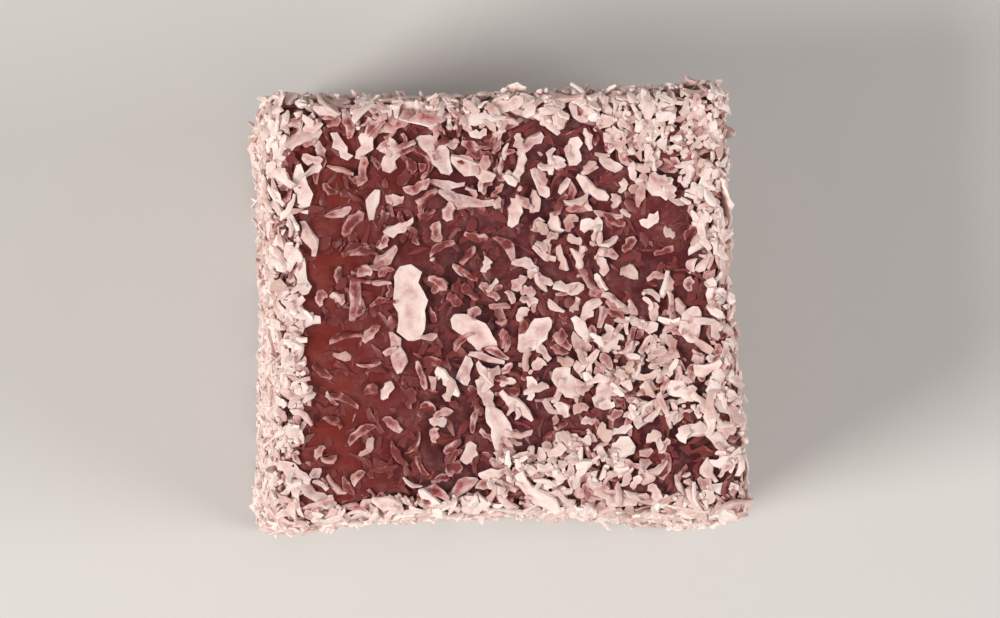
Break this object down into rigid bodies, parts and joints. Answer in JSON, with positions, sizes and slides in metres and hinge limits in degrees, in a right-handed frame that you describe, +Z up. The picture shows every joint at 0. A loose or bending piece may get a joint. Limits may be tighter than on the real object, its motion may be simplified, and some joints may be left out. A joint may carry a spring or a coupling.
{
  "type": "turkish delight cube",
  "caption": "Soft rounded cube of rose turkish delight coated all round in desiccated coconut, resting on its flat underside.",
  "frame": {"origin": "middle of the flat underside, on the surface the cube rests on", "axes": "+Z up out of the top, +X to the right and +Y away from the viewer when the cube is seen from above"},
  "size_m": [0.0234, 0.0216, 0.0189],
  "materials": {
    "rose_jelly": "translucent dark rose jelly with a thin veil of starch",
    "coconut": "dry cream-white coconut, tinted pink where it is sunk in the jelly"
  },
  "bodies": {
    "root": {"turkish_delight_cube": "rose_jelly"}
  },
  "joints": []
}
